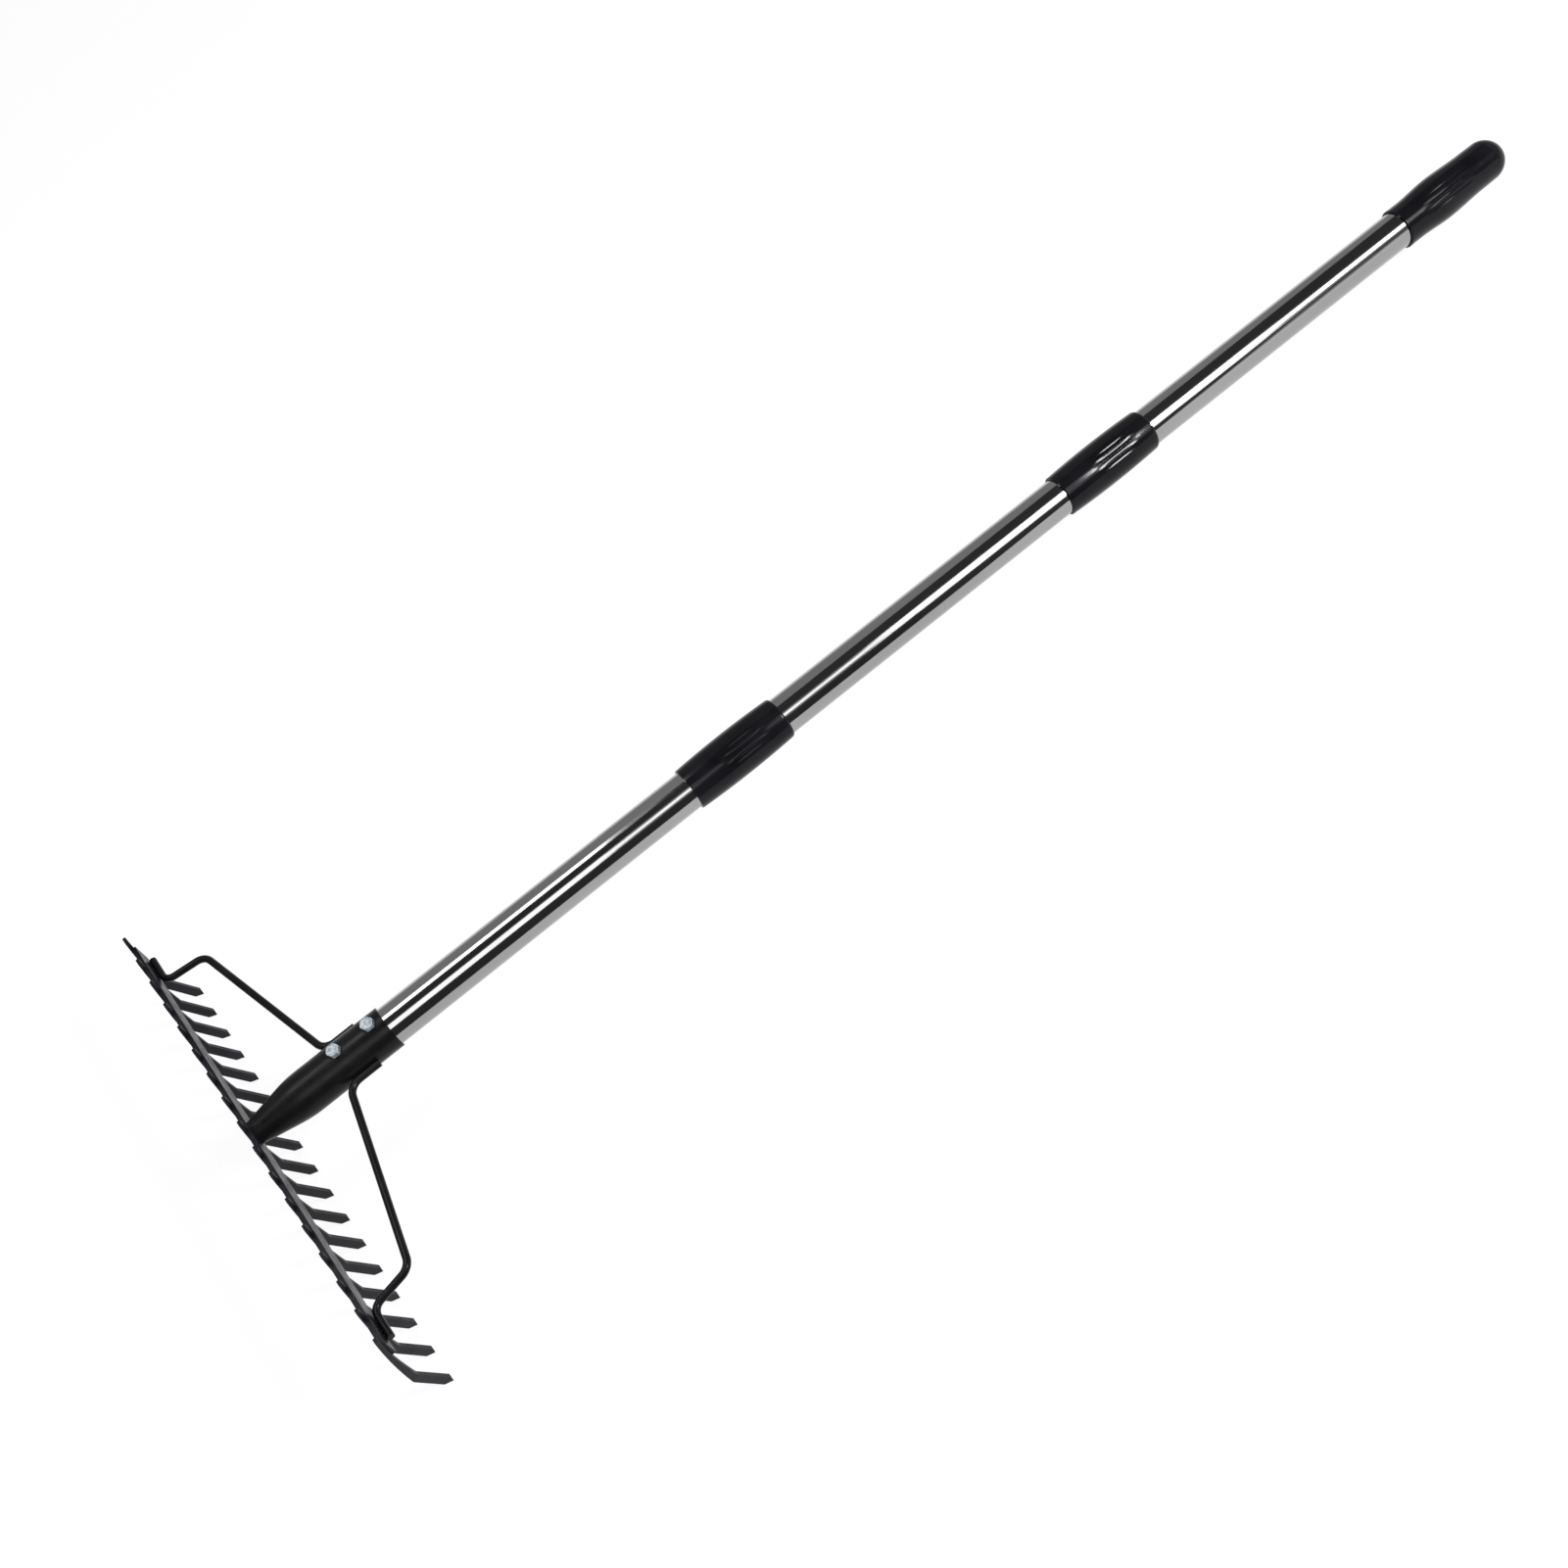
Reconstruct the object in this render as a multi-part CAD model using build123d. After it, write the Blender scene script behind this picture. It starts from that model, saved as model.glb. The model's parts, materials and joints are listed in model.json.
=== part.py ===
from build123d import *
import os
from math import asin, atan2, cos, degrees, hypot, pi, radians, sin

# A garden rake: a steel head with seventeen bent tines on a pole of three screwed-together tubes.
# Everything is drawn in millimetres in the pole's own frame: X is the pole's axis, from the
# crossbar towards the end grip, Y runs along the crossbar, and the tines point towards -Z.
# The last step lays the rake down on its tine tips and its end grip.

# Crossbar: a flat steel bar on edge
BAR_THICKNESS = 4.0
BAR_HEIGHT = 20.0

# Tines: flat strips let into slots in the bar's back face and bent towards the pole
TINE_COUNT = 17
TINE_PITCH = 27.2
TINE_THICKNESS = 3.5
TINE_TOP_WIDTH = 2.8
TINE_BOW_WIDTH = 4.2
TINE_LEG_WIDTH = 7.1
TINE_TOP_X = 2.0           # middle of the top end
TINE_TOP_Z = 22.0
TINE_BOW_Z = -12.0         # where the upper part bows back furthest
TINE_SEAT = 1.2            # how far the front edge reaches past the bar's back face there
TINE_BEND_X = -1.5         # middle of the width at the bend
TINE_BEND_Z = -49.0
TINE_BEND_ANGLE = 21.0     # degrees between the lower leg and the vertical
TINE_LEG = 39.0            # from the bend to the tip
TINE_TIP_OFFSET = 1.0      # tip off the leg's middle, towards the pole
TINE_FRONT_BEVEL = 4.5
TINE_BACK_BEVEL = 5.5
TINE_BEVEL_RADIUS = 2.0    # where the bevels leave the leg's edges
TINE_BEND_RADIUS = 8.0
TINE_CORNER_RADIUS = 1.0

# Socket: a tapered steel ferrule welded to the crossbar's front face
SOCKET_LENGTH = 124.0
SOCKET_WALL = 1.7
SOCKET_NOSE_RADIUS = 10.0
SOCKET_CONE_LENGTH = 40.0
SOCKET_SHOULDER_RADIUS = 90.0
SOCKET_NOSE_WALL = 4.0
FIXED_CLEARANCE = 0.05     # between touching pieces of the same rigid group
TUBE_INSERTION = 62.0

# Brace wires, from the sides of the socket to the crossbar's front face
WIRE_RADIUS = 3.0
WIRE_INNER_END = 21.0      # from the socket's mouth to the wire's inner end
WIRE_SEAT = 28.0           # stretch welded along the socket
WIRE_CORNER = 39.0         # from the crossbar's front face to the outer corner
WIRE_CORNER_DROP = 3.4     # corner under the pole's axis
WIRE_SPLAY = 6.0           # run outwards along the bar between the corner and the foot
WIRE_FOOT = 27.0           # stretch welded along the crossbar
WIRE_FOOT_DROP = 5.7       # foot under the pole's axis
WIRE_END_MARGIN = 8.85     # from the wire's end to the crossbar's end
WIRE_BEND_RADIUS = 12.0
WIRE_FOOT_RADIUS = 9.0

# Two hexagon bolts with nuts, through the socket and the lower tube
BOLT_RADIUS = 3.0
BOLT_FLATS = 10.0
BOLT_HEAD = 4.0
BOLT_END = 1.5             # thread beyond the nut
NUT_HEIGHT = 5.0
BOLT_FROM_MOUTH = 11.0
BOLT_SPACING = 31.0
SEAT_DEPTH = 0.5           # flat spot under each head and nut
SEAT_RADIUS = 6.2

# Pole: three tubes of one diameter
TUBE_RADIUS = 16.0
TUBE_WALL = 0.8
FIRST_SLEEVE = 334.0       # from the socket's mouth to the middle of the first sleeve
SLEEVE_PITCH = 382.5
GRIP_FROM_SLEEVE = 329.5   # from the middle of the last sleeve to the grip's mouth

# Couplings: a threaded plug in the tube below, a swivel plug in the tube above, and a sleeve
# that turns on the swivel plug and screws over the threaded plug
RUNNING_CLEARANCE = 0.3
PLUG_INSERTION = 30.0
PLUG_BORE = 8.0
PLUG_FLANGE = 2.0
LOWER_TUBE_SETBACK = 12.0  # from the sleeve's middle back to the end of the tube below
SPIGOT_STEP = 3.3          # spigot's radius under the tube's
SPIGOT_LENGTH = 22.0
THREAD_RING = 20.0
SPIGOT_TO_HEAD = 2.5
HEAD_STEP = 1.5            # swivel head's radius under the tube's
HEAD_LENGTH = 3.0
NECK_STEP = 2.3            # neck's radius under the swivel head's
NECK_LENGTH = 4.5

# Sleeves and end grip
SLEEVE_LENGTH = 92.0
SLEEVE_WALL = 1.6          # at the ends
SLEEVE_BULGE = 1.25        # extra radius in the middle
RIM_RADIUS = 0.8
GRIP_LENGTH = 118.0
GRIP_WALL = 1.75           # at the collar and where the dome starts
GRIP_COLLAR = 14.0         # straight stretch at the mouth
GRIP_SWELL = 1.7           # extra radius at the widest place
GRIP_SWELL_PLACE = 46.0    # from the mouth to the widest place
GRIP_WAIST = 0.2           # extra radius at the waist
GRIP_WAIST_PLACE = 86.0    # from the mouth to the waist

# Places along the pole's axis
socket_mouth = BAR_THICKNESS + SOCKET_LENGTH
socket_bore = TUBE_RADIUS + FIXED_CLEARANCE
socket_radius = socket_bore + SOCKET_WALL
lower_tube_start = socket_mouth - TUBE_INSERTION
lower_sleeve_middle = socket_mouth + FIRST_SLEEVE
upper_sleeve_middle = lower_sleeve_middle + SLEEVE_PITCH
grip_start = upper_sleeve_middle + GRIP_FROM_SLEEVE
grip_end = grip_start + GRIP_LENGTH
grip_bore = TUBE_RADIUS + FIXED_CLEARANCE
grip_radius = grip_bore + GRIP_WALL
dome_centre = grip_end - grip_radius
tube_bore = TUBE_RADIUS - TUBE_WALL
plug_fit = tube_bore - FIXED_CLEARANCE
bolt_seat = socket_radius - SEAT_DEPTH
bolt_places = [socket_mouth - BOLT_FROM_MOUTH, socket_mouth - BOLT_FROM_MOUTH - BOLT_SPACING]
end_tine = (TINE_COUNT - 1) / 2 * TINE_PITCH
bar_end = end_tine - TINE_THICKNESS / 2
bow_x = TINE_SEAT - TINE_BOW_WIDTH / 2
spigot_radius = TUBE_RADIUS - SPIGOT_STEP
head_radius = TUBE_RADIUS - HEAD_STEP
neck_radius = head_radius - NECK_STEP
sleeve_skirt = TUBE_RADIUS + RUNNING_CLEARANCE
sleeve_end_radius = sleeve_skirt + SLEEVE_WALL

# Places in a coupling, from the sleeve's middle
thread_start = -LOWER_TUBE_SETBACK + PLUG_FLANGE
spigot_end = thread_start + SPIGOT_LENGTH
ring_start = spigot_end - THREAD_RING
head_start = spigot_end + SPIGOT_TO_HEAD
head_end = head_start + HEAD_LENGTH
neck_end = head_end + NECK_LENGTH
upper_tube_setback = neck_end + PLUG_FLANGE

# Lower leg of a tine
leg_angle = radians(TINE_BEND_ANGLE)


def on_leg(distance, offset):
    """Point (x, z) on a tine's lower leg: distance from the bend, offset towards the pole."""
    x = TINE_BEND_X + distance * sin(leg_angle) + offset * cos(leg_angle)
    z = TINE_BEND_Z - distance * cos(leg_angle) + offset * sin(leg_angle)
    return x, z


def turned(points):
    """Solid of revolution about X from an outline of (x, radius) points."""
    return revolve(make_face(Polyline(*points, close=True)), Axis.X)


def head_bar(tines):
    """Bar that fills the space between the two end tines, slotted for the others."""
    body = Pos(BAR_THICKNESS / 2, 0, 0) * Box(BAR_THICKNESS, 2 * bar_end, BAR_HEIGHT)
    for shape in tines[1:-1]:
        body -= shape
    return body


def tine(y):
    top = TINE_TOP_WIDTH / 2
    bow = TINE_BOW_WIDTH / 2
    leg = TINE_LEG_WIDTH / 2
    front_bend = on_leg(-leg * sin(leg_angle) / 2, leg)
    back_bend = on_leg(leg * sin(leg_angle) / 2, -leg)
    with BuildSketch(Plane.XZ) as side:
        with BuildLine():
            ThreePointArc((TINE_TOP_X + top, TINE_TOP_Z), (bow_x + bow, TINE_BOW_Z),
                          front_bend)
            Polyline(front_bend, on_leg(TINE_LEG - TINE_FRONT_BEVEL, leg),
                     on_leg(TINE_LEG, TINE_TIP_OFFSET), on_leg(TINE_LEG - TINE_BACK_BEVEL, -leg),
                     back_bend)
            ThreePointArc(back_bend, (bow_x - bow, TINE_BOW_Z),
                          (TINE_TOP_X - top, TINE_TOP_Z))
            Line((TINE_TOP_X - top, TINE_TOP_Z), (TINE_TOP_X + top, TINE_TOP_Z))
        make_face()
        top_corners = side.vertices().sort_by(Axis.Y)[-2:]
        fillet(top_corners, TINE_CORNER_RADIUS)
        bevel_corners = side.vertices().sort_by(Axis.Y)[1:3]
        fillet(bevel_corners, TINE_BEVEL_RADIUS)
        bends = side.vertices().filter_by(
            lambda corner: hypot(corner.X - TINE_BEND_X, corner.Y - TINE_BEND_Z) < TINE_LEG_WIDTH)
        fillet(bends, TINE_BEND_RADIUS)
    return Pos(0, y, 0) * extrude(side.sketch, TINE_THICKNESS / 2, both=True)


def socket():
    cone_end = BAR_THICKNESS + SOCKET_CONE_LENGTH
    nose_end = BAR_THICKNESS + SOCKET_NOSE_WALL
    nose_bore = SOCKET_NOSE_RADIUS - SOCKET_WALL / 2
    with BuildSketch() as half:
        with BuildLine():
            FilletPolyline((BAR_THICKNESS, SOCKET_NOSE_RADIUS), (cone_end, socket_radius),
                           (socket_mouth, socket_radius), radius=SOCKET_SHOULDER_RADIUS)
            Polyline((socket_mouth, socket_radius), (socket_mouth, socket_bore),
                     (cone_end, socket_bore), (nose_end, nose_bore), (nose_end, 0),
                     (BAR_THICKNESS, 0), (BAR_THICKNESS, SOCKET_NOSE_RADIUS))
        make_face()
    body = revolve(half.sketch, Axis.X)
    for place in bolt_places:
        body -= bolt_hole(place)
        for side in (1, -1):
            body -= Pos(place, 0, side * (bolt_seat + SOCKET_WALL)) * Cylinder(
                SEAT_RADIUS, 2 * SOCKET_WALL)
    return body


def bolt_hole(place):
    return Pos(place, 0, 0) * Cylinder(BOLT_RADIUS + FIXED_CLEARANCE, 4 * TUBE_RADIUS)


def hexagon(height):
    """Hexagonal prism with rounded-off corners, standing on Z = 0."""
    prism = extrude(RegularPolygon(BOLT_FLATS / 2, 6, major_radius=False), height)
    crown = Cone(0.64 * BOLT_FLATS, 0.52 * BOLT_FLATS, height,
                 align=(Align.CENTER, Align.CENTER, Align.MIN))
    return prism & crown


def bolts():
    """Hexagon bolts from above, each as one solid with its head."""
    length = 2 * bolt_seat + NUT_HEIGHT + BOLT_END
    shank = Cylinder(BOLT_RADIUS, length, align=(Align.CENTER, Align.CENTER, Align.MAX))
    return [Pos(place, 0, bolt_seat) * (hexagon(BOLT_HEAD) + shank) for place in bolt_places]


def nuts():
    hole = Cylinder(BOLT_RADIUS + FIXED_CLEARANCE, 4 * NUT_HEIGHT)
    return [Pos(place, 0, -bolt_seat) * (Rot(180, 0, 0) * (hexagon(NUT_HEIGHT) - hole))
            for place in bolt_places]


def brace_wire(side):
    """A bent wire from the socket out and down to the crossbar; side is 1 or -1 along Y."""
    seat_y = side * (socket_radius + FIXED_CLEARANCE + WIRE_RADIUS)
    inner_end = socket_mouth - WIRE_INNER_END
    foot_x = BAR_THICKNESS + FIXED_CLEARANCE + WIRE_RADIUS
    foot_end = bar_end - WIRE_END_MARGIN
    foot_start = foot_end - WIRE_FOOT
    path = FilletPolyline(
        (inner_end, seat_y, 0), (inner_end - WIRE_SEAT, seat_y, 0),
        (BAR_THICKNESS + WIRE_CORNER, side * (foot_start - WIRE_SPLAY), -WIRE_CORNER_DROP),
        (foot_x, side * foot_start, -WIRE_FOOT_DROP), (foot_x, side * foot_end, -WIRE_FOOT_DROP),
        radius=[WIRE_BEND_RADIUS, WIRE_BEND_RADIUS, WIRE_FOOT_RADIUS])
    section = Plane(origin=path @ 0, z_dir=path % 0) * Circle(WIRE_RADIUS)
    return sweep(section, path=path)


def tube(start, end):
    return turned([(start, tube_bore), (start, TUBE_RADIUS), (end, TUBE_RADIUS), (end, tube_bore)])


def lower_tube():
    body = tube(lower_tube_start, lower_sleeve_middle - LOWER_TUBE_SETBACK)
    for place in bolt_places:
        body -= bolt_hole(place)
    return body


def threaded_plug(middle):
    """Plug in the tube below, with the spigot that the sleeve screws over."""
    tube_end = middle - LOWER_TUBE_SETBACK
    flange_end = middle + thread_start
    return turned([
        (tube_end - PLUG_INSERTION, PLUG_BORE), (tube_end - PLUG_INSERTION, plug_fit),
        (tube_end, plug_fit), (tube_end, TUBE_RADIUS), (flange_end, TUBE_RADIUS),
        (flange_end, spigot_radius), (middle + spigot_end, spigot_radius),
        (middle + spigot_end, PLUG_BORE)])


def swivel_plug(middle):
    """Plug in the tube above, with the head and neck that the sleeve turns on."""
    tube_start = middle + upper_tube_setback
    return turned([
        (middle + head_start, PLUG_BORE), (middle + head_start, head_radius),
        (middle + head_end, head_radius), (middle + head_end, neck_radius),
        (middle + neck_end, neck_radius), (middle + neck_end, TUBE_RADIUS),
        (tube_start, TUBE_RADIUS), (tube_start, plug_fit),
        (tube_start + PLUG_INSERTION, plug_fit), (tube_start + PLUG_INSERTION, PLUG_BORE)])


def sleeve(middle):
    """Barrel-shaped sleeve: a skirt over each tube, a thread ring, and a rib behind the head."""
    start, end = middle - SLEEVE_LENGTH / 2, middle + SLEEVE_LENGTH / 2
    ring = spigot_radius + RUNNING_CLEARANCE
    pocket = head_radius + RUNNING_CLEARANCE
    rib = neck_radius + RUNNING_CLEARANCE
    pocket_end = middle + head_end + RUNNING_CLEARANCE
    rib_end = middle + neck_end - RUNNING_CLEARANCE
    with BuildSketch() as half:
        with BuildLine():
            Polyline((start, sleeve_end_radius), (start, sleeve_skirt),
                     (middle + ring_start, sleeve_skirt), (middle + ring_start, ring),
                     (middle + spigot_end, ring), (middle + spigot_end, pocket),
                     (pocket_end, pocket), (pocket_end, rib), (rib_end, rib),
                     (rib_end, sleeve_skirt), (end, sleeve_skirt), (end, sleeve_end_radius))
            ThreePointArc((end, sleeve_end_radius), (middle, sleeve_end_radius + SLEEVE_BULGE),
                          (start, sleeve_end_radius))
        make_face()
        rims = half.vertices().filter_by(
            lambda corner: abs(corner.Y - sleeve_end_radius) < RIM_RADIUS)
        fillet(rims, RIM_RADIUS)
    return revolve(half.sketch, Axis.X)


def end_grip():
    """Closed hand grip with a collar, a swell, a waist and a domed end, over the upper tube."""
    collar_end = grip_start + GRIP_COLLAR
    dome_middle = (dome_centre + grip_radius * cos(pi / 4), grip_radius * sin(pi / 4))
    with BuildSketch() as half:
        with BuildLine():
            Polyline((grip_start, grip_bore), (grip_start, grip_radius),
                     (collar_end, grip_radius))
            Spline((collar_end, grip_radius),
                   (grip_start + GRIP_SWELL_PLACE, grip_radius + GRIP_SWELL),
                   (grip_start + GRIP_WAIST_PLACE, grip_radius + GRIP_WAIST),
                   (dome_centre, grip_radius), tangents=[(1, 0), (1, 0)])
            ThreePointArc((dome_centre, grip_radius), dome_middle, (grip_end, 0))
            Polyline((grip_end, 0), (dome_centre, 0), (dome_centre, grip_bore),
                     (grip_start, grip_bore))
        make_face()
    return revolve(half.sketch, Axis.X)


def lay_down_angle():
    """Lean in radians that brings the tine tips and the grip's dome down to one level."""
    tip_x, tip_z = on_leg(TINE_LEG, TINE_TIP_OFFSET)
    reach = dome_centre - tip_x
    return asin(-grip_radius / hypot(reach, tip_z)) - atan2(tip_z, reach)


def build_nodes():
    tines = [tine(end_tine - index * TINE_PITCH) for index in range(TINE_COUNT)]
    nodes = {"head_bar": head_bar(tines), "socket": socket(), "end_grip": end_grip()}
    for index, shape in enumerate(tines):
        nodes[f"tine_{index + 1:02d}"] = shape
    nodes["brace_wire_left"] = brace_wire(1)
    nodes["brace_wire_right"] = brace_wire(-1)
    nodes["socket_bolts"] = Compound(children=bolts())
    nodes["socket_nuts"] = Compound(children=nuts())
    nodes["lower_tube"] = lower_tube()
    nodes["lower_threaded_plug"] = threaded_plug(lower_sleeve_middle)
    nodes["lower_sleeve"] = sleeve(lower_sleeve_middle)
    nodes["middle_swivel_plug"] = swivel_plug(lower_sleeve_middle)
    nodes["middle_tube"] = tube(lower_sleeve_middle + upper_tube_setback,
                                upper_sleeve_middle - LOWER_TUBE_SETBACK)
    nodes["middle_threaded_plug"] = threaded_plug(upper_sleeve_middle)
    nodes["upper_sleeve"] = sleeve(upper_sleeve_middle)
    nodes["upper_swivel_plug"] = swivel_plug(upper_sleeve_middle)
    nodes["upper_tube"] = tube(upper_sleeve_middle + upper_tube_setback, dome_centre)
    return nodes


# The ground is Z = 0, and the origin lies on it under the centre of the whole rake's box.
nodes = build_nodes()
lean = Rot(0, degrees(lay_down_angle()), 0)
whole = Compound(children=[lean * shape for shape in nodes.values()]).bounding_box()
lay_down = Pos(-whole.center().X, -whole.center().Y, -whole.min.Z) * lean

os.makedirs("parts", exist_ok=True)
for name, shape in nodes.items():
    export_step(lay_down * shape, f"parts/{name}.step")
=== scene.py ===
import json
import math

import bpy
from mathutils import Matrix, Vector


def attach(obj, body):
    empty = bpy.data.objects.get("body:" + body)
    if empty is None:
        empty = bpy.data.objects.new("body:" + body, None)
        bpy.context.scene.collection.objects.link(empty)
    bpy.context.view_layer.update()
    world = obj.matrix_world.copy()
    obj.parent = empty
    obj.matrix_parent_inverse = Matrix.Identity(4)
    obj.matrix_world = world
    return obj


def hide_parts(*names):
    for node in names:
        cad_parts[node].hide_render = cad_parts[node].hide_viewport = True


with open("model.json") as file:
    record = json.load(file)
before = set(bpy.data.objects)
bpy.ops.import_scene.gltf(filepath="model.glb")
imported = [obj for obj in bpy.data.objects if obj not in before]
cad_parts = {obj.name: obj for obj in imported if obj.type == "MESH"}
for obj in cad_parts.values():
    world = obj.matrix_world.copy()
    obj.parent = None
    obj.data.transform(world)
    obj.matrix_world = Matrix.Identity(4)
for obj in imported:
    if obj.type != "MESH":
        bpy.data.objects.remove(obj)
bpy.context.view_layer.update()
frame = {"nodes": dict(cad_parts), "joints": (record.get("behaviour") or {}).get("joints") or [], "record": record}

# Studio, in metres
LIGHT_DISTANCE = 2.2
CARD_STEPS = 12
FLOOR_SIZE = 16
FLOOR_WHITE_SHARE = 0.87
FLOOR_COLOUR = (0.92, 0.915, 0.95, 1)
WORLD_STRENGTH = 0.42
WHITE = (1, 1, 1, 1)

# Camera that took the photograph, fitted in the pole's frame
CAMERA_RIGHT = (0.7714, -0.5770, -0.2685)
CAMERA_UP = (0.6157, 0.5697, 0.5444)
CAMERA_BACK = (-0.1611, -0.5852, 0.7947)
CAMERA_PLACE = (0.22557, -0.94750, 1.21540)
CAMERA_LENS = 46.06
CAMERA_SENSOR = 36.0
CAMERA_CLIP_START = 0.01

# Sizes in metres, in the pole's frame: X along the pole's axis from the crossbar, Y along the
# crossbar, Z up. They repeat the sizes of the CAD parts that the pieces below stand for.
LOWER_SLEEVE = 0.462
UPPER_SLEEVE = 0.8445
SLEEVE_HALF = 0.046
SLEEVE_END_RADIUS = 0.0179
SLEEVE_BULGE = 0.00125
SLEEVE_BORE = 0.0163
MOUTH_RIM = 0.0008
END_RIM_LENGTH = 0.0026
END_RIM_HEIGHT = 0.0014
GRIP_START = 1.174
GRIP_LENGTH = 0.118
GRIP_RADIUS = 0.0178
GRIP_BORE = 0.01605
GRIP_COLLAR = 0.014
GRIP_SWELL = 0.0017
GRIP_SWELL_PLACE = 0.046
GRIP_WAIST = 0.0002
GRIP_WAIST_PLACE = 0.086

# Fluting: two opposite groups of scooped grooves on each turned piece. The grooves run out over
# GROOVE_RUN_OUT of their half length. A group's middle is an angle from +Y towards up.
GROOVES = 4
GROOVE_PITCH = math.radians(11.5)
GROOVE_DEPTH = 0.0005
GROOVE_RUN_OUT = 0.85
SLEEVE_GROOVE_HALF = 0.0265
SLEEVE_GROOVE_SHIFT = 0.007
GRIP_GROOVE_START = 0.016
GRIP_GROOVE_END = 0.080
SLEEVE_FLUTE_ANGLE = math.radians(127.5)
GRIP_FLUTE_ANGLE = math.radians(129)

# Mesh detail of the turned pieces
SEGMENTS = 720
SLEEVE_RINGS = 90
GRIP_RINGS = 110
CREASE_ANGLE = math.radians(60)

# Black paint and plastic reflect less than plain plastic does
BLACK_SPECULAR = 0.13


def pole_frame():
    """Matrix from the pole's frame to the row frame, from the sleeve's hinge."""
    hinge = next(j for j in frame["joints"] if j["name"] == "lower_sleeve_turn")
    along = Vector(hinge["axis"]).normalized()
    across = Vector((0, 1, 0))
    up = along.cross(across)
    turn = Matrix((along, across, up)).transposed().to_4x4()
    origin = Vector(hinge["pos_m"]) - along * LOWER_SLEEVE
    return Matrix.Translation(origin) @ turn


POLE = pole_frame()


def add(name, data, matrix):
    """New object of the data in the scene, placed by a matrix."""
    holder = bpy.data.objects.new(name, data)
    holder.matrix_world = matrix
    bpy.context.scene.collection.objects.link(holder)
    return holder


# ---------------------------------------------------------------- materials

def empty_material(name):
    """Material with only an output node in its tree."""
    material = bpy.data.materials.new(name)
    material.use_nodes = True
    tree = material.node_tree
    tree.nodes.clear()
    output = tree.nodes.new("ShaderNodeOutputMaterial")
    return material, tree, output.inputs["Surface"]


def new_material(name):
    material, tree, surface = empty_material(name)
    shader = tree.nodes.new("ShaderNodeBsdfPrincipled")
    tree.links.new(shader.outputs["BSDF"], surface)
    return material, tree, shader


def noise(tree, scale, detail=3.0, stretch=(1.0, 1.0, 1.0)):
    """Noise over the piece's own coordinates, which ride with it."""
    place = tree.nodes.new("ShaderNodeTexCoord")
    size = tree.nodes.new("ShaderNodeMapping")
    size.inputs["Scale"].default_value = stretch
    texture = tree.nodes.new("ShaderNodeTexNoise")
    texture.inputs["Scale"].default_value = scale
    texture.inputs["Detail"].default_value = detail
    tree.links.new(place.outputs["Object"], size.inputs["Vector"])
    tree.links.new(size.outputs["Vector"], texture.inputs["Vector"])
    return texture.outputs["Fac"]


def ramp(tree, value, low, high, start=0.35, end=0.65):
    """Blend from low to high, both greys or colours, as value goes from start to end."""
    blend = tree.nodes.new("ShaderNodeValToRGB")
    blend.color_ramp.elements[0].position = start
    blend.color_ramp.elements[1].position = end
    for element, colour in zip(blend.color_ramp.elements, (low, high)):
        element.color = (*colour, 1.0) if isinstance(colour, tuple) else (colour,) * 3 + (1.0,)
    tree.links.new(value, blend.inputs["Fac"])
    return blend.outputs["Color"]


def bump(tree, shader, value, strength, distance):
    relief = tree.nodes.new("ShaderNodeBump")
    relief.inputs["Strength"].default_value = strength
    relief.inputs["Distance"].default_value = distance
    tree.links.new(value, relief.inputs["Height"])
    tree.links.new(relief.outputs["Normal"], shader.inputs["Normal"])


def black_paint(name, dark, light, rough_low, rough_high, grain):
    """Sprayed black paint on steel: slightly uneven in tone and sheen, with a fine orange peel."""
    material, tree, shader = new_material(name)
    tone = noise(tree, scale=38.0, detail=4.0)
    tree.links.new(ramp(tree, tone, dark, light), shader.inputs["Base Color"])
    sheen = noise(tree, scale=90.0, detail=5.0)
    tree.links.new(ramp(tree, sheen, rough_low, rough_high), shader.inputs["Roughness"])
    shader.inputs["Specular IOR Level"].default_value = BLACK_SPECULAR
    bump(tree, shader, noise(tree, scale=900.0, detail=2.0), strength=grain, distance=0.0002)
    return material


def black_plastic(name, dark, light, rough_low, rough_high):
    """Moulded black plastic, slightly uneven in tone and sheen."""
    material, tree, shader = new_material(name)
    tone = noise(tree, scale=26.0, detail=3.0)
    tree.links.new(ramp(tree, tone, dark, light), shader.inputs["Base Color"])
    sheen = noise(tree, scale=60.0, detail=5.0)
    tree.links.new(ramp(tree, sheen, rough_low, rough_high), shader.inputs["Roughness"])
    shader.inputs["Specular IOR Level"].default_value = BLACK_SPECULAR
    bump(tree, shader, noise(tree, scale=260.0, detail=2.0), strength=0.05, distance=0.00004)
    return material


def polished_tube():
    """Polished stainless steel with faint scratches round and along the tube."""
    material, tree, shader = new_material("polished tube")
    shader.inputs["Metallic"].default_value = 1.0
    tone = noise(tree, scale=6.0, detail=3.0, stretch=(1.0, 8.0, 8.0))
    tree.links.new(ramp(tree, tone, low=(0.325, 0.322, 0.325), high=(0.36, 0.357, 0.36)),
                   shader.inputs["Base Color"])
    lines = noise(tree, scale=40.0, detail=6.0, stretch=(0.3, 30.0, 30.0))
    tree.links.new(ramp(tree, lines, low=0.07, high=0.11), shader.inputs["Roughness"])
    bump(tree, shader, lines, strength=0.02, distance=0.00005)
    return material


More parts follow.
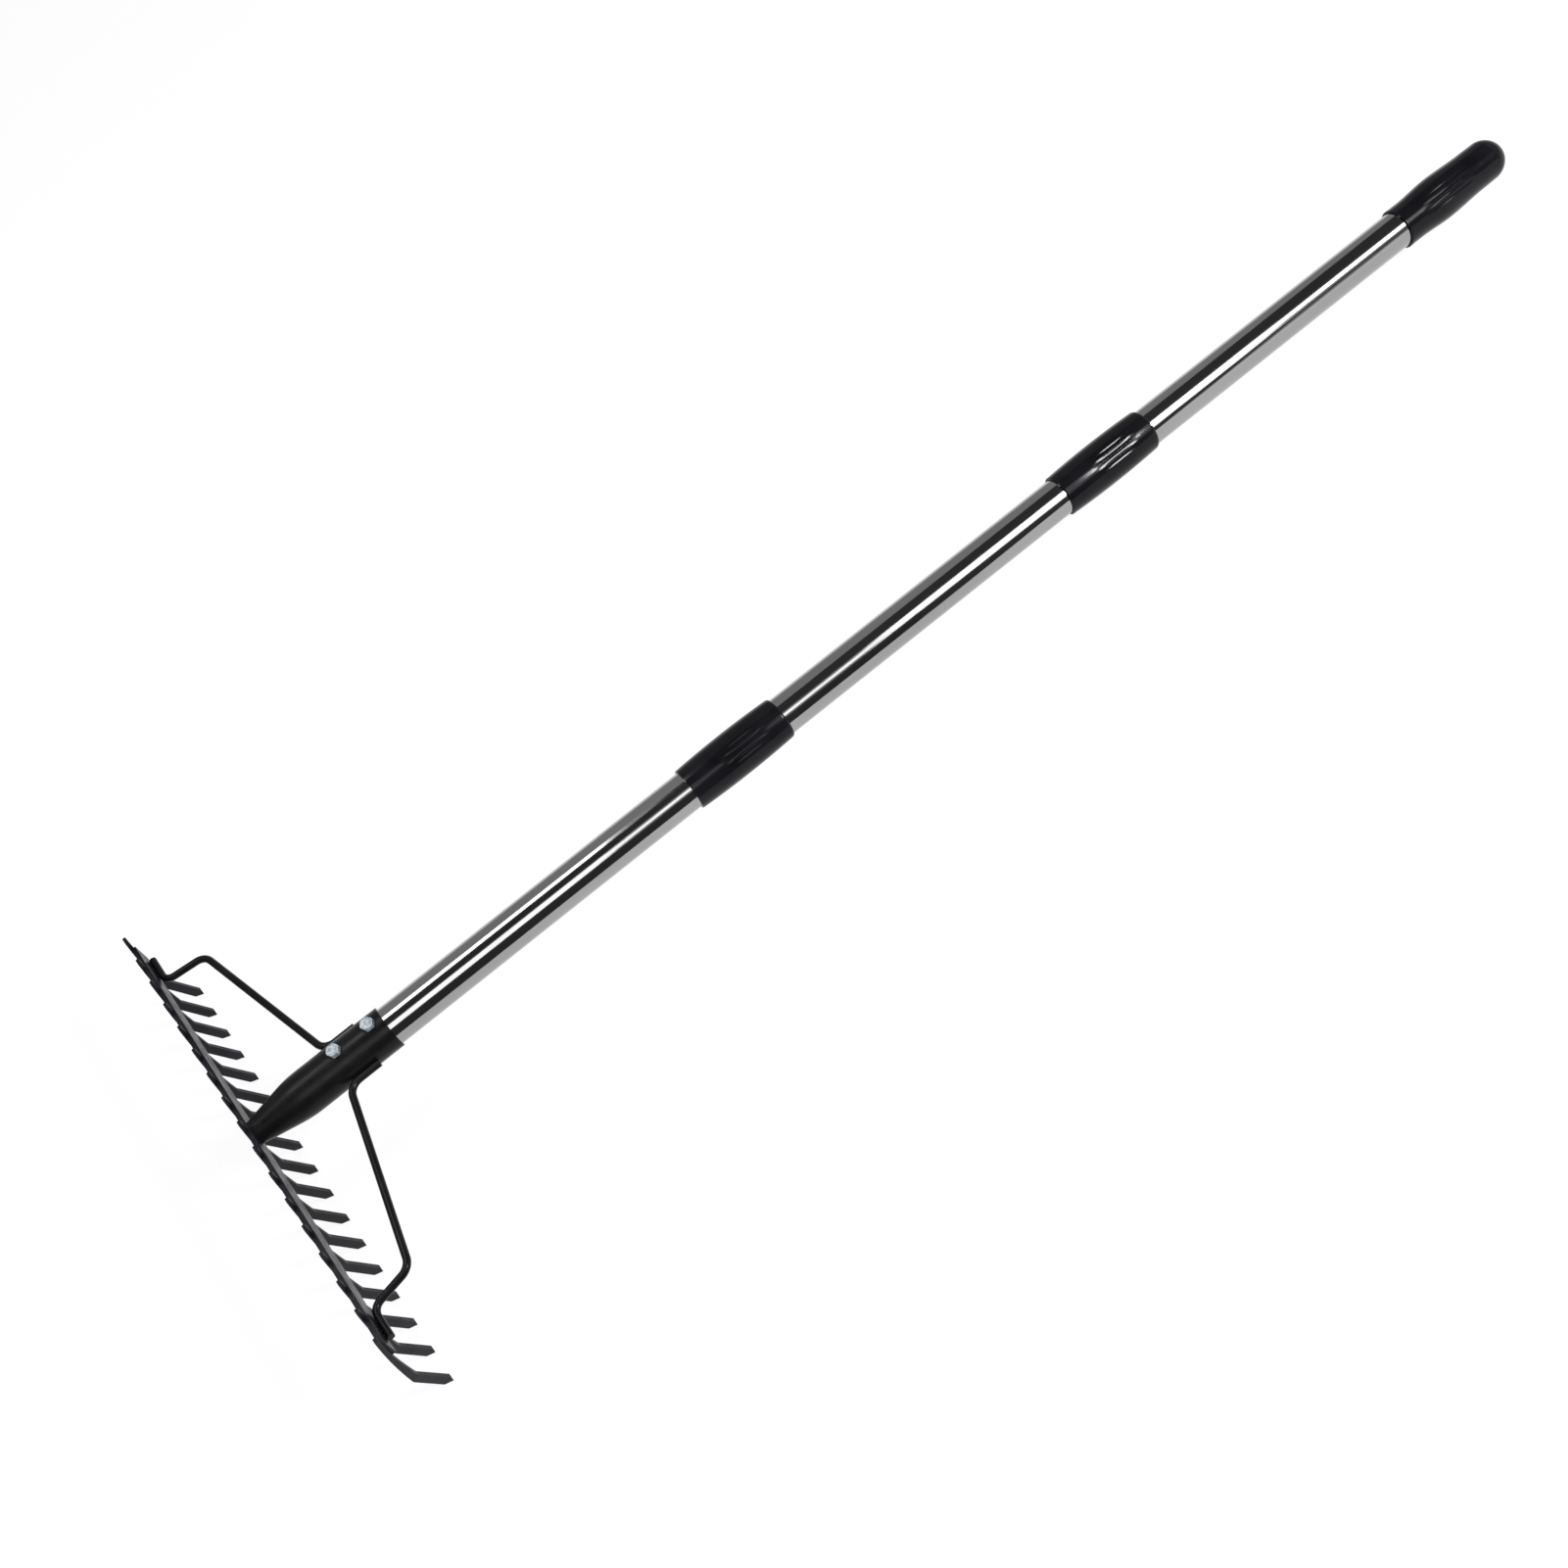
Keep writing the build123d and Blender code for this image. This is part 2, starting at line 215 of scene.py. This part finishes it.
def zinc():
    """Dull zinc plating with a coarse grain."""
    material, tree, shader = new_material("zinc plate")
    shader.inputs["Metallic"].default_value = 0.75
    tone = noise(tree, scale=420.0, detail=4.0)
    tree.links.new(ramp(tree, tone, low=(0.25, 0.28, 0.31), high=(0.52, 0.57, 0.62)),
                   shader.inputs["Base Color"])
    sheen = noise(tree, scale=700.0, detail=4.0)
    tree.links.new(ramp(tree, sheen, low=0.25, high=0.5), shader.inputs["Roughness"])
    bump(tree, shader, noise(tree, scale=600.0, detail=3.0), strength=0.35, distance=0.0003)
    return material


MATERIALS = {
    "painted_head_steel": black_paint(
        "head paint", dark=(0.005, 0.005, 0.008), light=(0.009, 0.009, 0.013),
        rough_low=0.30, rough_high=0.44, grain=0.22),
    "painted_wire": black_paint(
        "wire paint", dark=(0.003, 0.003, 0.004), light=(0.006, 0.006, 0.007),
        rough_low=0.20, rough_high=0.32, grain=0.12),
    "painted_socket_steel": black_paint(
        "socket paint", dark=(0.003, 0.003, 0.0035), light=(0.006, 0.006, 0.0065),
        rough_low=0.26, rough_high=0.38, grain=0.14),
    "zinc_plated_steel": zinc(),
    "polished_stainless_tube": polished_tube(),
    "plug_plastic": black_plastic(
        "plug plastic", dark=(0.015, 0.015, 0.015), light=(0.03, 0.03, 0.03),
        rough_low=0.45, rough_high=0.6),
    "grip_plastic": black_plastic(
        "grip plastic", dark=(0.003, 0.003, 0.004), light=(0.006, 0.006, 0.0075),
        rough_low=0.10, rough_high=0.13),
}


def paint_nodes():
    """Give each CAD piece the material of its slot."""
    for part in frame["record"]["subparts"]:
        mesh = frame["nodes"][part["node"]].data
        material = MATERIALS[part["material_slot"]]
        if not mesh.materials:
            mesh.materials.append(material)
        for index in range(len(mesh.materials)):
            mesh.materials[index] = material


# ---------------------------------------------------------------- sleeves and grip

def smooth(value):
    """Ease from 0 to 1, level at both ends."""
    value = max(0.0, min(1.0, value))
    return value * value * (3 - 2 * value)


def scoop(angle):
    """Share of the full groove depth at an angle from a group's middle; groups are opposite."""
    turn = (angle + math.pi / 2) % math.pi - math.pi / 2
    if abs(turn) >= GROOVES * GROOVE_PITCH / 2:
        return 0.0
    side = 2 * (turn % GROOVE_PITCH) / GROOVE_PITCH - 1
    return 1 - side ** 2


def sleeve_radius(x):
    """Outer radius of a sleeve at x from its middle, with a tight and a soft rim."""
    arc = (SLEEVE_HALF ** 2 + SLEEVE_BULGE ** 2) / (2 * SLEEVE_BULGE)
    radius = SLEEVE_END_RADIUS + SLEEVE_BULGE - (arc - math.sqrt(arc ** 2 - x ** 2))
    length, height = (MOUTH_RIM, MOUTH_RIM) if x < 0 else (END_RIM_LENGTH, END_RIM_HEIGHT)
    edge = 1 - (SLEEVE_HALF - abs(x)) / length
    if edge > 0:
        radius -= height * (1 - math.sqrt(max(0.0, 1 - edge ** 2)))
    return radius


def grip_radius(x):
    """Outer radius of the grip at x from its mouth: collar, swell, waist and dome."""
    dome = GRIP_LENGTH - GRIP_RADIUS
    if x > dome:
        return math.sqrt(max(0.0, GRIP_RADIUS ** 2 - (x - dome) ** 2))
    if x < GRIP_SWELL_PLACE:
        rise = smooth((x - GRIP_COLLAR) / (GRIP_SWELL_PLACE - GRIP_COLLAR))
        radius = GRIP_RADIUS + GRIP_SWELL * rise
    elif x < GRIP_WAIST_PLACE:
        fall = smooth((x - GRIP_SWELL_PLACE) / (GRIP_WAIST_PLACE - GRIP_SWELL_PLACE))
        radius = GRIP_RADIUS + GRIP_SWELL + (GRIP_WAIST - GRIP_SWELL) * fall
    else:
        radius = GRIP_RADIUS + GRIP_WAIST * smooth((dome - x) / (dome - GRIP_WAIST_PLACE))
    edge = 1 - x / MOUTH_RIM
    if edge > 0:
        radius -= MOUTH_RIM * (1 - math.sqrt(max(0.0, 1 - edge ** 2)))
    return radius


def turned_piece(name, rings, capped):
    """Closed piece of revolution from rings of (x, radius at each angle) in the pole's frame."""
    points = []
    for x, radius_at in rings:
        for index in range(SEGMENTS):
            angle = 2 * math.pi * index / SEGMENTS
            radius = radius_at(angle)
            points.append(POLE @ Vector((x, radius * math.cos(angle), radius * math.sin(angle))))
    faces = []
    for ring in range(len(rings) - (1 if capped else 0)):
        first = ring * SEGMENTS
        second = (ring + 1) % len(rings) * SEGMENTS
        for index in range(SEGMENTS):
            following = (index + 1) % SEGMENTS
            faces.append((first + index, first + following, second + following, second + index))
    if capped:
        last = (len(rings) - 1) * SEGMENTS
        faces.append(tuple(reversed(range(SEGMENTS))))
        faces.append(tuple(range(last, last + SEGMENTS)))
    mesh = bpy.data.meshes.new(name)
    mesh.from_pydata(points, [], faces)
    mesh.update()
    mesh.shade_smooth()
    mesh.set_sharp_from_angle(angle=CREASE_ANGLE)
    mesh.materials.append(MATERIALS["grip_plastic"])
    return add(name, mesh, Matrix())


def plain(radius):
    """Round ring: the same radius at every angle."""
    return lambda angle: radius


def fluted(radius, depth, turn):
    """Ring with grooves of a depth, their group turned to an angle."""
    return lambda angle: radius - depth * scoop(angle - turn)


def groove_depth(x, middle, half):
    """Depth of the grooves at x: they run out to nothing at half a length either side."""
    run = 1 - abs(x - middle) / half
    return GROOVE_DEPTH * smooth(run / GROOVE_RUN_OUT)


def make_sleeve(node, middle):
    rings = []
    for index in range(SLEEVE_RINGS + 1):
        x = -SLEEVE_HALF * math.cos(math.pi * index / SLEEVE_RINGS)
        depth = groove_depth(x, SLEEVE_GROOVE_SHIFT, SLEEVE_GROOVE_HALF)
        rings.append((middle + x, fluted(sleeve_radius(x), depth, SLEEVE_FLUTE_ANGLE)))
    rings.append((middle + SLEEVE_HALF, plain(SLEEVE_BORE)))
    rings.append((middle - SLEEVE_HALF, plain(SLEEVE_BORE)))
    return turned_piece(node + "_moulded", rings, capped=False)


def make_grip(node):
    dome = GRIP_LENGTH - GRIP_RADIUS
    middle = (GRIP_GROOVE_START + GRIP_GROOVE_END) / 2
    half = (GRIP_GROOVE_END - GRIP_GROOVE_START) / 2
    rings = [(GRIP_START + dome, plain(GRIP_BORE)), (GRIP_START, plain(GRIP_BORE))]
    for index in range(GRIP_RINGS):
        x = GRIP_LENGTH * (1 - math.cos(math.pi * index / GRIP_RINGS)) / 2
        depth = groove_depth(x, middle, half)
        rings.append((GRIP_START + x, fluted(grip_radius(x), depth, GRIP_FLUTE_ANGLE)))
    return turned_piece(node + "_moulded", rings, capped=True)


paint_nodes()


# ---------------------------------------------------------------- floor, light and camera

def make_camera():
    camera = bpy.data.cameras.new("camera")
    camera.lens = CAMERA_LENS
    camera.sensor_width = CAMERA_SENSOR
    camera.clip_start = CAMERA_CLIP_START
    turn = Matrix((CAMERA_RIGHT, CAMERA_UP, CAMERA_BACK)).transposed().to_4x4()
    placing = POLE @ Matrix.Translation(CAMERA_PLACE) @ turn
    bpy.context.scene.camera = add("camera", camera, placing)


def around(angle, distance, along):
    """Place round the pole's axis; the angle rises from the camera's side, in degrees."""
    turn = math.radians(angle)
    return Vector((along, -distance * math.cos(turn), distance * math.sin(turn)))


def strip_light(name, angle, width, start, end, watts_per_area):
    """Soft light along the pole, aimed square at its axis; angle and width are in degrees."""
    outward = around(angle, 1.0, 0.0)
    along = Vector((1, 0, 0))
    across = outward.cross(along)
    turn = Matrix((along, across, outward)).transposed().to_4x4()
    light = bpy.data.lights.new(name, "AREA")
    light.shape = "RECTANGLE"
    light.size = end - start
    light.size_y = 2 * LIGHT_DISTANCE * math.tan(math.radians(width / 2))
    light.energy = watts_per_area * light.size * light.size_y
    place = around(angle, LIGHT_DISTANCE, (start + end) / 2)
    add(name, light, POLE @ Matrix.Translation(place) @ turn)


def fill_light(size, height, watts_per_area):
    """Wide light from above that lifts the shadows and stays out of the reflections."""
    light = bpy.data.lights.new("fill", "AREA")
    light.shape = "SQUARE"
    light.size = size
    light.energy = watts_per_area * size ** 2
    holder = add("fill", light, Matrix.Translation((0, 0, height)))
    holder.visible_glossy = False


def glow(name, grey):
    """Plain material that shines with the same grey all over."""
    material, tree, surface = empty_material(name)
    tree.links.new(emission(tree, grey), surface)
    return material


def emission(tree, strength):
    shader = tree.nodes.new("ShaderNodeEmission")
    shader.inputs["Color"].default_value = WHITE
    shader.inputs["Strength"].default_value = strength
    return shader.outputs["Emission"]


def reflection_card(name, distance, near, far, grey):
    """Curved card that only reflections see; near and far are (along, low angle, high angle)."""
    points = []
    for along, low, high in (near, far):
        for index in range(CARD_STEPS + 1):
            angle = low + (high - low) * index / CARD_STEPS
            points.append(around(angle, distance, along))
    faces = []
    for index in range(CARD_STEPS):
        second = CARD_STEPS + 1 + index
        faces.append((index, index + 1, second + 1, second))
    mesh = bpy.data.meshes.new(name)
    mesh.from_pydata(points, [], faces)
    mesh.materials.append(glow(name, grey))
    card = add(name, mesh, POLE)
    card.visible_camera = False
    card.visible_diffuse = False
    card.visible_transmission = False
    card.visible_shadow = False


def computed(tree, operation, first, second):
    """Result of a maths node; each operand is a number or a socket."""
    node = tree.nodes.new("ShaderNodeMath")
    node.operation = operation
    for socket, operand in zip(node.inputs, (first, second)):
        if isinstance(operand, float):
            socket.default_value = operand
        else:
            tree.links.new(operand, socket)
    return node.outputs["Value"]


def floor_material():
    """White paper: mostly plain white to the camera and in reflections, the rest takes shadows."""
    material, tree, surface = empty_material("floor paper")
    paper = tree.nodes.new("ShaderNodeBsdfDiffuse")
    paper.inputs["Color"].default_value = FLOOR_COLOUR
    path = tree.nodes.new("ShaderNodeLightPath")
    seen = computed(tree, "MAXIMUM", path.outputs["Is Camera Ray"], path.outputs["Is Glossy Ray"])
    seen = computed(tree, "MAXIMUM", seen, path.outputs["Is Transmission Ray"])
    blend = tree.nodes.new("ShaderNodeMixShader")
    tree.links.new(computed(tree, "MULTIPLY", seen, FLOOR_WHITE_SHARE), blend.inputs["Fac"])
    tree.links.new(paper.outputs["BSDF"], blend.inputs[1])
    tree.links.new(emission(tree, 1.0), blend.inputs[2])
    tree.links.new(blend.outputs["Shader"], surface)
    return material


def make_floor():
    half = FLOOR_SIZE / 2
    corners = [(-half, -half, 0), (half, -half, 0), (half, half, 0), (-half, half, 0)]
    mesh = bpy.data.meshes.new("floor")
    mesh.from_pydata(corners, [], [(0, 1, 2, 3)])
    mesh.materials.append(floor_material())
    add("floor", mesh, Matrix())


make_floor()
make_camera()
strip_light("key head", angle=50, width=24, start=-0.5, end=0.5, watts_per_area=8)
strip_light("key bridge", angle=51, width=14, start=0.5, end=1.15, watts_per_area=7)
strip_light("key far", angle=48, width=36, start=1.15, end=2.2, watts_per_area=8)
strip_light("key grip", angle=52, width=21, start=2.2, end=2.56, watts_per_area=8)
strip_light("hot", angle=51, width=16, start=1.56, end=1.98, watts_per_area=230)
strip_light("hot grip", angle=51, width=16, start=2.28, end=2.66, watts_per_area=26)
strip_light("head light", angle=109, width=18, start=-1.0, end=0.5, watts_per_area=15)
fill_light(size=2.6, height=3.0, watts_per_area=2.6)
reflection_card("upper flag head", distance=2.0, near=(-1.2, 66, 98), far=(0.6, 66, 98), grey=0.05)
reflection_card("upper flag", distance=2.0, near=(0.6, 66, 110), far=(1.9, 66, 124), grey=0.06)
reflection_card("upper flag grip", distance=2.0, near=(1.9, 66, 124), far=(3.0, 66, 145), grey=0.06)
reflection_card("lower flag head", distance=0.4, near=(-0.4, -12, 36), far=(0.75, -10, 36), grey=0.05)
reflection_card("lower flag", distance=0.4, near=(0.75, -10, 34), far=(1.25, 20, 28), grey=0.06)
reflection_card("lower flag grip", distance=0.4, near=(1.25, 20, 30), far=(1.7, 24, 38), grey=0.10)
reflection_card("pale card", distance=2.0, near=(1.2, -2, -1), far=(3.4, -2, 24), grey=1.2)

world = bpy.data.worlds.new("world")
bpy.context.scene.world = world
world.use_nodes = True
background = world.node_tree.nodes["Background"]
background.inputs["Color"].default_value = WHITE
background.inputs["Strength"].default_value = WORLD_STRENGTH
bpy.context.scene.view_settings.view_transform = "Standard"

# Node that each turned piece stands for, the piece and the body it rides on
TURNED = (("lower_sleeve", make_sleeve("lower_sleeve", LOWER_SLEEVE), "lower_sleeve"),
          ("upper_sleeve", make_sleeve("upper_sleeve", UPPER_SLEEVE), "upper_sleeve"),
          ("end_grip", make_grip("end_grip"), "upper_pole"))
for node, piece, body in TURNED:
    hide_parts(node)
    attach(piece, body)
